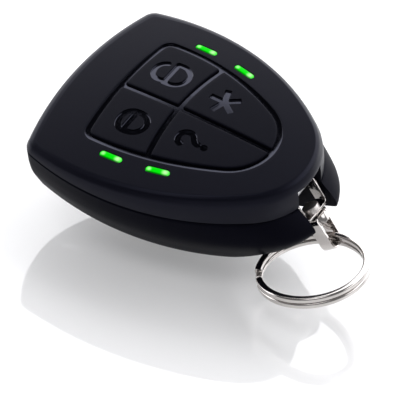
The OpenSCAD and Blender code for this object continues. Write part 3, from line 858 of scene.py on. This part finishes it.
def engraver(points, width, extra=0.0):
    """Cutter swept along a round-ended pen stroke, its floor following the key's curved top."""
    p = pen_path(points)
    t = np.gradient(p, axis=0)
    t /= np.linalg.norm(t, axis=1)[:, None]
    a = np.radians([78.0, 60.0, 40.0, 20.0])
    cap = width / 2 * np.stack([np.sin(a), np.cos(a)], 1)
    half = np.r_[cap[:, 1], np.full(len(p), width / 2), cap[::-1, 1]]
    p = np.vstack([p[0] - t[0] * cap[:, :1], p, p[-1] + t[-1] * cap[::-1, :1]])
    t = np.vstack([np.repeat(t[:1], 4, 0), t, np.repeat(t[-1:], 4, 0)])
    side = np.stack([-t[:, 1], t[:, 0]], 1)
    right = engraved_wall(mm(sizes().engraving) + extra)
    rings = []
    for q, h, n in zip(p, half, side):
        reach = [h + g * (2 * h / width) for g, _ in right]
        across = np.array([*reach, *(-r for r in reach[::-1])])
        lower = np.array([l for _, l in right] + [l for _, l in right[::-1]])
        spot = q + across[:, None] * n
        rings.append(on_surface(spot, key_face, lower - KEY_PROUD))
    return loft(rings)


def bow(cx, cy, rx, ry, a0, a1, n=24):
    """Part of an ellipse, from a0 to a1 degrees."""
    a = np.radians(np.linspace(a0, a1, n))
    return np.stack([cx + rx * np.cos(a), cy + ry * np.sin(a)], 1)


def padlock_body(cx, top, half, drop):
    """Two strokes that make a D-shaped lock body: its bar and its bowl."""
    bar = np.stack([np.linspace(cx - half, cx + half, 12), np.full(12, top)], 1)
    sides = bow(cx, top - drop, half, half, 180, 360, 30)
    bowl = np.vstack([[[cx - half, top]], sides, [[cx + half, top]]])
    return [bar, bowl]


def star_engraver(centre, reach, width, arms=5):
    """Cutter for an asterisk with flat-ended arms, in one piece."""
    line = []
    for a in math.pi / 2 + 2 * math.pi * np.arange(arms) / arms:
        d, n = np.array([math.cos(a), math.sin(a)]), np.array([-math.sin(a), math.cos(a)])
        notch = a + math.pi / arms
        line += [reach * d - width / 2 * n, reach * d + width / 2 * n,
                 width / 2 / math.sin(math.pi / arms) * np.array([math.cos(notch), math.sin(notch)])]
    line = centre + np.array(line)
    depth = mm(sizes().engraving)
    rings = [on_surface(inset(line, -g), key_face, lower - KEY_PROUD) for g, lower in engraved_wall(depth)]
    face = float(key_face(*centre)) + KEY_PROUD
    return loft(rings, (*centre, face + 1.0), (*centre, face - depth))


def symbol_cuts(name):
    """Cutters for one key's symbol, each a hair deeper than the one before it."""
    w = mm(sizes().stroke)
    if name == "star":
        return [star_engraver(np.array([5.8, -3.75]), 3.2, w * 1.08)]
    if name == "help":
        hook = bow(-6.0, -2.62, 1.62, 1.62, 168, -35, 30)
        tail = np.array([[-5.35, -3.95], [-5.9, -4.5], [-6.2, -5.0], [-6.25, -5.45]])
        dot = [(-6.27, -6.95), (-6.27, -6.75)]
        return [engraver(np.vstack([hook, tail]), w * 1.12), engraver(dot, w * 1.2, 0.01)]
    if name == "lock":
        w *= 1.12
        lines = [bow(-7.5, 9.3, 2.6, 2.15, 0, 180)] + padlock_body(-7.5, 9.3, 2.6, 1.0)
    else:
        lines = [bow(6.8, 10.85, 2.35, 2.2, 14, 222)] + padlock_body(7.05, 9.45, 2.75, 1.15)
    return [engraver(line, w, 0.01 * k) for k, line in enumerate(lines)]


def collar_top(at):
    """Height of the top of a key's collar, under the web of its pocket."""
    roof = float(key_face(abs(at[0]) + COLLAR_D / 2, at[1] + COLLAR_D / 2))
    return roof - mm(sizes().recess) - WEB - 0.1


def key_cap(line, under):
    """Solid of one key's cap on its outline, its top edge turned."""
    rings = [on_surface(inset(line, KEY_CHAMFER), key_face, under)]
    rings.append(on_surface(line, key_face, under - KEY_CHAMFER))
    for a in np.linspace(0, math.pi / 2, 6):
        ring = inset(line, KEY_EDGE * (1 - math.cos(a))) if a > 0 else line
        rings.append(on_surface(ring, key_face, KEY_EDGE * (1 - math.sin(a)) - KEY_PROUD))
    rim, middle = rings[-1][:, :2], line.mean(0)
    for k in np.linspace(1, 0, 15)[1:-1]:
        rings.append(on_surface(middle + (rim - middle) * k, key_face, -KEY_PROUD))
    face = float(key_face(*middle))
    return loft(rings, (*middle, face - under), (*middle, face + KEY_PROUD))


class FOB_OT_keys(bpy.types.Operator):
    """Build the four keys with turned edges and engraved symbols"""

    bl_idname = "fob.keys"
    bl_label = "Keys"

    def execute(self, context):
        under = mm(sizes().recess) - KEY_TRAVEL - 0.25
        lowest = collar_top(key_stems()[1]) - COLLAR_T
        for i, name in enumerate(KEY_NAMES):
            coats = [material("key_black"), material("symbol_black")]
            key = new_object(f"key_{name}_cap", *key_cap(key_outline(i), under), coats)
            for cut in symbol_cuts(name):
                # The cut faces of each symbol take the darkened black, painted shade in the strokes
                combine(key, cut, index=1)
            stem = key_stems()[i]
            collar = collar_top(stem)
            combine(key, column(*stem, STEM_D, lowest, float(key_face(*stem)) - 0.6), "UNION")
            combine(key, column(*stem, COLLAR_D, collar - COLLAR_T, collar), "UNION")
            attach(key, f"key_{name}")
            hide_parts(f"key_{name}")
        return {"FINISHED"}


class FOB_OT_light_pipes(bpy.types.Operator):
    """Build the four lit light pipes"""

    bl_idname = "fob.light_pipes"
    bl_label = "Light Pipes"

    def execute(self, context):
        for name, place in slit_places().items():
            shoulder, middle = slit_line(place, PIPE_SHOULDER), place[:2]
            rings = [at_height(shoulder, PIPE_FOOT)]
            rings += [on_surface(line, key_face, WALL + 0.02) for line in (shoulder, slit_line(place, 0.0))]
            rings += [on_surface(slit_line(place, grow), dome, lower) for grow, lower in PIPE_TOP]
            poles = ((*middle, PIPE_FOOT), (*middle, float(dome(*middle)) + 0.1))
            pipe = new_object(f"light_pipe_{name}", *loft(rings, *poles), [material("lit_green")])
            self.mark_place(pipe, place)
            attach(pipe, "housing")
            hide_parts(f"lens_{name}")
        return {"FINISHED"}

    def mark_place(self, pipe, place):
        """Stores each point's place across (X) and along (Y) the slit, in half lengths of the slit."""
        a = math.radians(place[2])
        along, across = np.array([math.sin(a), math.cos(a)]), np.array([math.cos(a), -math.sin(a)])
        mesh = pipe.data
        co = np.zeros(len(mesh.vertices) * 3)
        mesh.vertices.foreach_get("co", co)
        rel = co.reshape(-1, 3)[:, :2] / MM - np.array(place[:2])
        unit = mm(sizes().slit_length) / 2
        data = np.column_stack([rel @ across / unit, rel @ along / unit, np.zeros(len(rel))])
        mesh.attributes.new("slit_place", "FLOAT_VECTOR", "POINT").data.foreach_set("vector", data.ravel())


# Metal


def softened(node, name, edge, mat):
    """Copy of a CAD node with merged points and small rounds on its sharp edges."""
    bm = bmesh.new()
    bm.from_mesh(frame["nodes"][node].data)
    bmesh.ops.remove_doubles(bm, verts=bm.verts, dist=2e-6)
    bmesh.ops.dissolve_limit(bm, angle_limit=math.radians(0.5), verts=bm.verts, edges=bm.edges)
    sharp = [e for e in bm.edges if e.is_manifold and e.calc_face_angle(0) > math.radians(35)]
    bmesh.ops.bevel(bm, geom=sharp, offset=edge * MM, segments=3, profile=0.5, affect="EDGES",
                    clamp_overlap=True)
    bmesh.ops.recalc_face_normals(bm, faces=bm.faces)
    mesh = bpy.data.meshes.new(name)
    bm.to_mesh(mesh)
    bm.free()
    mesh.materials.append(mat)
    shade(mesh, 40)
    return placed(name, mesh)


class FOB_OT_link(bpy.types.Operator):
    """Round the edges of the two brackets, the rivet and the pin"""

    bl_idname = "fob.link"
    bl_label = "Swivel Link"

    def execute(self, context):
        rows = (("link_bracket", "upper_bracket", 0.1, "nickel_sheet", "link", "nickel"),
                ("ring_bracket", "lower_bracket_form", 0.1, "nickel_sheet", "lower_bracket", "nickel"),
                # The rivet's nickel is brightened as painted light
                ("swivel_rivet", "rivet", 0.15, "nickel_dull", "link", "rivet_steel"),
                ("cross_pin", "pin", 0.15, "steel", "housing", "pin_steel"))
        for node, name, edge, mat, body, slot in rows:
            piece = softened(node, name, edge, material(mat))
            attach(piece, body)
            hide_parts(node)
        return {"FINISHED"}


class Tree:
    """Small helper to write a geometry node tree."""

    def __init__(self, name, inputs):
        self.group = bpy.data.node_groups.new(name, "GeometryNodeTree")
        face = self.group.interface
        self.ids = {}
        for label, (kind, value) in inputs.items():
            sock = face.new_socket(label, in_out="INPUT", socket_type=kind)
            if value is not None:
                sock.default_value = value
            self.ids[label] = sock.identifier
        face.new_socket("Geometry", in_out="OUTPUT", socket_type="NodeSocketGeometry")
        self.start = self.group.nodes.new("NodeGroupInput")
        self.end = self.group.nodes.new("NodeGroupOutput")

    def add(self, kind, inputs=None, **settings):
        return add_node(self.group, kind, inputs, settings)

    def math(self, operation, a, b=0.0):
        return self.add("ShaderNodeMath", {0: a, 1: b}, operation=operation).outputs[0]

    def given(self, label):
        return self.start.outputs[label]

    def finish(self, geometry):
        real = self.add("GeometryNodeRealizeInstances", {"Geometry": geometry})
        dressed = self.add("GeometryNodeSetMaterial", {
            "Geometry": real.outputs[0], "Material": self.given("Material")})
        self.group.links.new(dressed.outputs[0], self.end.inputs[0])

    def mesh(self, name, values):
        """Runs the tree on an empty mesh and gives an object with the plain mesh that it makes."""
        obj = placed(name, bpy.data.meshes.new(name))
        mod = obj.modifiers.new("nodes", "NODES")
        mod.node_group = self.group
        for label, value in values.items():
            mod[self.ids[label]] = value
        settle(obj, mod)
        return obj


def coil_tree():
    """Two turns of flat wire that step up by one wire in the gap between the wire's ends."""
    size = "NodeSocketFloat"
    t = Tree("split_ring_coil", {
        "Radius": (size, 0.01), "Wire width": (size, 0.0013), "Wire height": (size, 0.0011),
        "Turns": (size, RING_TURNS), "Lift": (size, 0.0012), "End angle": (size, math.radians(RING_END)),
        "Material": ("NodeSocketMaterial", None)})
    line = t.add("GeometryNodeCurvePrimitiveLine", {"Start": (0, 0, 0), "End": (1, 0, 0)})
    fine = t.add("GeometryNodeResampleCurve", {"Curve": line.outputs[0], "Count": 360})
    along = t.add("ShaderNodeSeparateXYZ", {0: t.add("GeometryNodeInputPosition").outputs[0]}).outputs[0]
    turns = t.given("Turns")
    turn = t.math("MULTIPLY", along, turns)
    back = t.math("SUBTRACT", turn, turns)
    angle = t.math("ADD", t.given("End angle"), t.math("MULTIPLY", back, 2 * math.pi))
    share = t.add("ShaderNodeMapRange", {"Value": back, "From Min": -0.99, "From Max": -0.952},
                  interpolation_type="SMOOTHSTEP").outputs[0]
    height = t.math("MULTIPLY", t.given("Lift"), t.math("SUBTRACT", share, 0.5))
    place = t.add("ShaderNodeCombineXYZ", {
        0: t.math("MULTIPLY", t.given("Radius"), t.math("COSINE", angle)),
        1: t.math("MULTIPLY", t.given("Radius"), t.math("SINE", angle)), 2: height})
    coil = t.add("GeometryNodeSetPosition", {"Geometry": fine.outputs[0], "Position": place.outputs[0]})
    upright = t.add("GeometryNodeSetCurveNormal", {"Curve": coil.outputs[0]}, mode="Z_UP")
    flat = t.add("GeometryNodeCurvePrimitiveQuadrilateral", {
        "Width": t.given("Wire width"), "Height": t.given("Wire height")})
    soft = t.add("GeometryNodeFilletCurve", {
        "Curve": flat.outputs[0], "Count": 5, "Radius": WIRE_CORNER}, mode="POLY")
    wire = t.add("GeometryNodeCurveToMesh", {
        "Curve": upright.outputs[0], "Profile Curve": soft.outputs[0], "Fill Caps": True})
    t.finish(wire.outputs[0])
    return t


def screw_tree():
    """Countersunk-flat head with a cross recess and a ribbed shank, set on two points."""
    size = "NodeSocketFloat"
    t = Tree("case_screw_pair", {
        "Head diameter": (size, 0.0038), "Head height": (size, 0.0012), "Shank diameter": (size, 0.0017),
        "Shank length": (size, 0.009), "Spacing": (size, 0.031), "Material": ("NodeSocketMaterial", None)})

    def half(v):
        return t.math("MULTIPLY", v, 0.5)

    def moved(mesh, way):
        return t.add("GeometryNodeTransform", {"Geometry": mesh.outputs[0], "Translation": way}).outputs[0]

    def rod(d, h, z, sides=40):
        n = t.add("GeometryNodeMeshCylinder", {"Vertices": sides, "Radius": half(d), "Depth": h})
        return moved(n, t.add("ShaderNodeCombineXYZ", {2: z}).outputs[0])

    head_h, shank_l = t.given("Head height"), t.given("Shank length")
    head = rod(t.given("Head diameter"), head_h, half(head_h))
    cut = t.add("GeometryNodeMeshBoolean", {0: head}, operation="DIFFERENCE", solver="EXACT")
    for size in ((0.0023, 0.00048, 0.0014), (0.00048, 0.0023, 0.0014)):
        bar = t.add("GeometryNodeMeshCube", {"Size": size})
        t.group.links.new(bar.outputs[0], cut.inputs[1])
    shank_z = t.math("ADD", half(shank_l), t.math("SUBTRACT", head_h, 0.0001))
    shank = rod(t.given("Shank diameter"), shank_l, shank_z, 28)
    ribs = t.add("GeometryNodeMeshLine", {
        "Count": 12, "Start Location": (0, 0, 0.0035), "Offset": (0, 0, 0.0005)})
    rib = t.add("GeometryNodeMeshCone", {
        "Vertices": 28, "Radius Top": 0.00088, "Radius Bottom": 0.00098, "Depth": 0.00025})
    thread = t.add("GeometryNodeInstanceOnPoints", {"Points": ribs.outputs[0], "Instance": rib.outputs[0]})
    screw = t.add("GeometryNodeJoinGeometry")
    for g in (thread.outputs[0], shank, cut.outputs[0]):
        t.group.links.new(g, screw.inputs[0])
    start = t.add("ShaderNodeCombineXYZ", {0: t.math("MULTIPLY", t.given("Spacing"), -0.5)})
    step = t.add("ShaderNodeCombineXYZ", {0: t.given("Spacing")})
    pair = t.add("GeometryNodeMeshLine", {
        "Count": 2, "Start Location": start.outputs[0], "Offset": step.outputs[0]})
    both = t.add("GeometryNodeInstanceOnPoints", {"Points": pair.outputs[0], "Instance": screw.outputs[0]})
    t.finish(both.outputs[0])
    return t


class FOB_OT_split_ring(bpy.types.Operator):
    """Wind the split ring through the lower bracket's loop"""

    bl_idname = "fob.split_ring"
    bl_label = "Split Ring"

    def execute(self, context):
        s = sizes()
        radius = (s.ring_diameter - s.wire_width) / 2
        ring = coil_tree().mesh("key_ring_coil", {
            "Radius": radius, "Wire width": s.wire_width, "Wire height": s.wire_height,
            "Turns": RING_TURNS, "Lift": s.wire_height + RING_PLAY, "End angle": math.radians(RING_END),
            "Material": material("nickel")})
        tilt = math.radians(LINK_TILT)
        loop = Vector((0, PIN_Y - LINK_L * math.cos(tilt), PIN_Z - LINK_L * math.sin(tilt))) * MM
        place = Matrix.Translation(loop)
        for angle, axis in ((RING_TURN_Y, "Y"), (RING_TURN_X, "X"), (RING_PHASE, "Z")):
            place = place @ Matrix.Rotation(math.radians(angle), 4, axis)
        ring.data.transform(place @ Matrix.Translation((-radius, 0, 0)))
        shade(ring.data, 40)
        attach(ring, "ring")
        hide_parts("split_ring")
        return {"FINISHED"}


class FOB_OT_case_screws(bpy.types.Operator):
    """Set the two case screws in their wells"""

    bl_idname = "fob.case_screws"
    bl_label = "Case Screws"

    def execute(self, context):
        (x0, y), (x1, _) = screw_spots()
        screws = screw_tree().mesh("case_screw_pair", {
            "Head diameter": 0.0038, "Head height": 0.0012, "Shank diameter": 0.0017, "Shank length": 0.009,
            "Spacing": (x1 - x0) * MM, "Material": material("steel")})
        screws.data.transform(Matrix.Translation((0, y * MM, 0.4 * MM)))
        shade(screws.data)
        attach(screws, "housing")
        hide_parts("case_screws")
        return {"FINISHED"}


class FOB_OT_inside(bpy.types.Operator):
    """Dress the board and what is on it"""

    bl_idname = "fob.inside"
    bl_label = "Electronics"

    def execute(self, context):
        dress = {"circuit_board": "board_green", "coin_cell": "cell_steel", "cell_holder": "holder_black",
                 "cell_clip": "cell_steel", "cell_spring": "brass", "control_chip": "chip_black",
                 "radio_chip": "chip_black", "crystal": "tin_can", "antenna": "copper"}
        for k in KEY_NAMES:
            dress[f"switch_{k}"], dress[f"plunger_{k}"] = "switch_black", "plunger_white"
        for k in LAMP_NAMES:
            dress[f"led_{k}"] = "lamp_clear"
        for node, name in dress.items():
            mesh = frame["nodes"][node].data
            mesh.materials.clear()
            mesh.materials.append(material(name))
        return {"FINISHED"}


# Stage


class FOB_OT_stage(bpy.types.Operator):
    """Set the white table, the soft studio light and the camera"""

    bl_idname = "fob.stage"
    bl_label = "Stage"

    TABLE_NORMAL, TABLE_DROP, TABLE_REACH, TABLE_LIGHT = (0.2663, 0.0992, 0.9588), 0.0097, 2.5, 0.13
    CAMERA_AT = (-0.2113499, -0.1327144, 0.3094927)
    # The camera's right, up and back
    CAMERA_AXES = ((0.549457, -0.835191, 0.023515), (0.649294, 0.444533, 0.617096),
                   (-0.525847, -0.3238, 0.786536))
    # Bright backdrop on one side of the room, up to an edge, and the darker rest
    BACKDROP, BACKDROP_WAY, BACKDROP_FADE = 2.6, 40.0, 0.35
    BACKDROP_UP, BACKDROP_EDGE, BACKDROP_SOFT = (-0.166, 0.198, 0.966), 0.645, 0.02
    ROOM, ABOVE = 0.2, 0.03
    # Soft boxes: direction, cosines where the light starts and is full, strength
    SOFT_BOXES = (((0.43, -0.75, 0.5), 0.9, 0.96, 2.0), ((-0.15, 0.15, 0.97), 0.95, 0.985, 2.2))
    LIGHT_TINT = (0.98, 0.98, 1.0, 1.0)

    def execute(self, context):
        self.table()
        self.light(context.scene)
        self.camera(context.scene)
        return {"FINISHED"}

    def table(self):
        n = Vector(self.TABLE_NORMAL).normalized()
        u = n.cross(Vector((0, 1, 0))).normalized()
        v = n.cross(u)
        mesh = bpy.data.meshes.new("table")
        signs = ((-1, -1), (1, -1), (1, 1), (-1, 1))
        corners = [(u * a + v * b) * self.TABLE_REACH - n * self.TABLE_DROP for a, b in signs]
        mesh.from_pydata([tuple(c) for c in corners], [], [(0, 1, 2, 3)])
        if mesh.polygons[0].normal.dot(n) < 0:
            mesh.flip_normals()
        sh = Shader("table_white")
        haze = sh.noise(0.05, 2.0)
        sh.link(sh.spread(haze, 0.03, 0.06), "Roughness")
        sh.set(Base_Color=(*finish().table, 1.0), Specular_IOR_Level=1.0, Emission_Color=(1, 1, 1, 1),
               Emission_Strength=self.TABLE_LIGHT)
        mesh.materials.append(sh.mat)
        table = placed("table", mesh)

    def light(self, scene):
        world = bpy.data.worlds.new("studio")
        scene.world = world
        world.use_nodes = True
        tree = world.node_tree
        way = tree.nodes.new("ShaderNodeTexCoord").outputs["Generated"]

        def toward(direction, low, high, dark, bright):
            """Light that goes from dark to bright as the view turns to a direction."""
            aim = Vector(direction).normalized()
            dot = add_node(tree, "ShaderNodeVectorMath", {0: way, 1: aim}, {"operation": "DOT_PRODUCT"})
            ends = {"Value": dot.outputs["Value"], "From Min": low, "From Max": high,
                    "To Min": dark, "To Max": bright}
            band = add_node(tree, "ShaderNodeMapRange", ends, {"interpolation_type": "SMOOTHSTEP"})
            return band.outputs["Result"]

        def joined(operation, a, b):
            return add_node(tree, "ShaderNodeMath", {0: a, 1: b}, {"operation": operation}).outputs[0]

        turn = math.radians(self.BACKDROP_WAY)
        side = (math.cos(turn), math.sin(turn), 0.0)
        low, high = self.BACKDROP_EDGE - self.BACKDROP_SOFT, self.BACKDROP_EDGE + self.BACKDROP_SOFT
        level = joined("MULTIPLY", toward(side, 0.0, self.BACKDROP_FADE, 0.0, self.BACKDROP - self.ABOVE),
                       toward(self.BACKDROP_UP, low, high, 1.0, 0.0))
        level = joined("ADD", level, toward(side, 0.0, self.BACKDROP_FADE, self.ROOM, self.ABOVE))
        for direction, start, full, strength in self.SOFT_BOXES:
            level = joined("ADD", level, toward(direction, start, full, 0.0, strength))
        back = tree.nodes["Background"]
        tree.links.new(level, back.inputs["Strength"])
        back.inputs["Color"].default_value = self.LIGHT_TINT

    def camera(self, scene):
        data = bpy.data.cameras.new("camera")
        data.lens, data.sensor_width = 180.0, 36.0
        data.clip_start, data.clip_end = 0.01, 10.0
        cam = placed("camera", data)
        cam.matrix_world = Matrix.Translation(self.CAMERA_AT) @ Matrix(self.CAMERA_AXES).transposed().to_4x4()
        scene.camera = cam
        scene.view_settings.view_transform = "Standard"


OPERATORS = (FOB_OT_top_shell, FOB_OT_rear_shell, FOB_OT_keys, FOB_OT_light_pipes, FOB_OT_link,
             FOB_OT_split_ring, FOB_OT_case_screws, FOB_OT_inside, FOB_OT_stage)


class FOB_PT_panel(bpy.types.Panel):
    """Lists the steps that build the fob"""

    bl_label = "Alarm Key Fob"
    bl_idname = "FOB_PT_panel"
    bl_space_type = "VIEW_3D"
    bl_region_type = "UI"
    bl_category = "Fob"

    def draw(self, context):
        for group in (context.scene.fob_sizes, context.scene.fob_finish):
            box = self.layout.box()
            for key in group.bl_rna.properties.keys():
                if key not in ("rna_type", "name"):
                    box.prop(group, key)
        for op in OPERATORS:
            self.layout.operator(op.bl_idname)


CLASSES = (FobSizes, FobFinish, *OPERATORS, FOB_PT_panel)


def register():
    for c in CLASSES:
        bpy.utils.register_class(c)
    bpy.types.Scene.fob_sizes = PointerProperty(type=FobSizes)
    bpy.types.Scene.fob_finish = PointerProperty(type=FobFinish)


def unregister():
    del bpy.types.Scene.fob_finish
    del bpy.types.Scene.fob_sizes
    for c in reversed(CLASSES):
        bpy.utils.unregister_class(c)


def main():
    register()
    bpy.ops.fob.top_shell()
    bpy.ops.fob.rear_shell()
    bpy.ops.fob.keys()
    bpy.ops.fob.light_pipes()
    bpy.ops.fob.link()
    bpy.ops.fob.split_ring()
    bpy.ops.fob.case_screws()
    bpy.ops.fob.inside()
    bpy.ops.fob.stage()


if __name__ == "__main__":
    main()
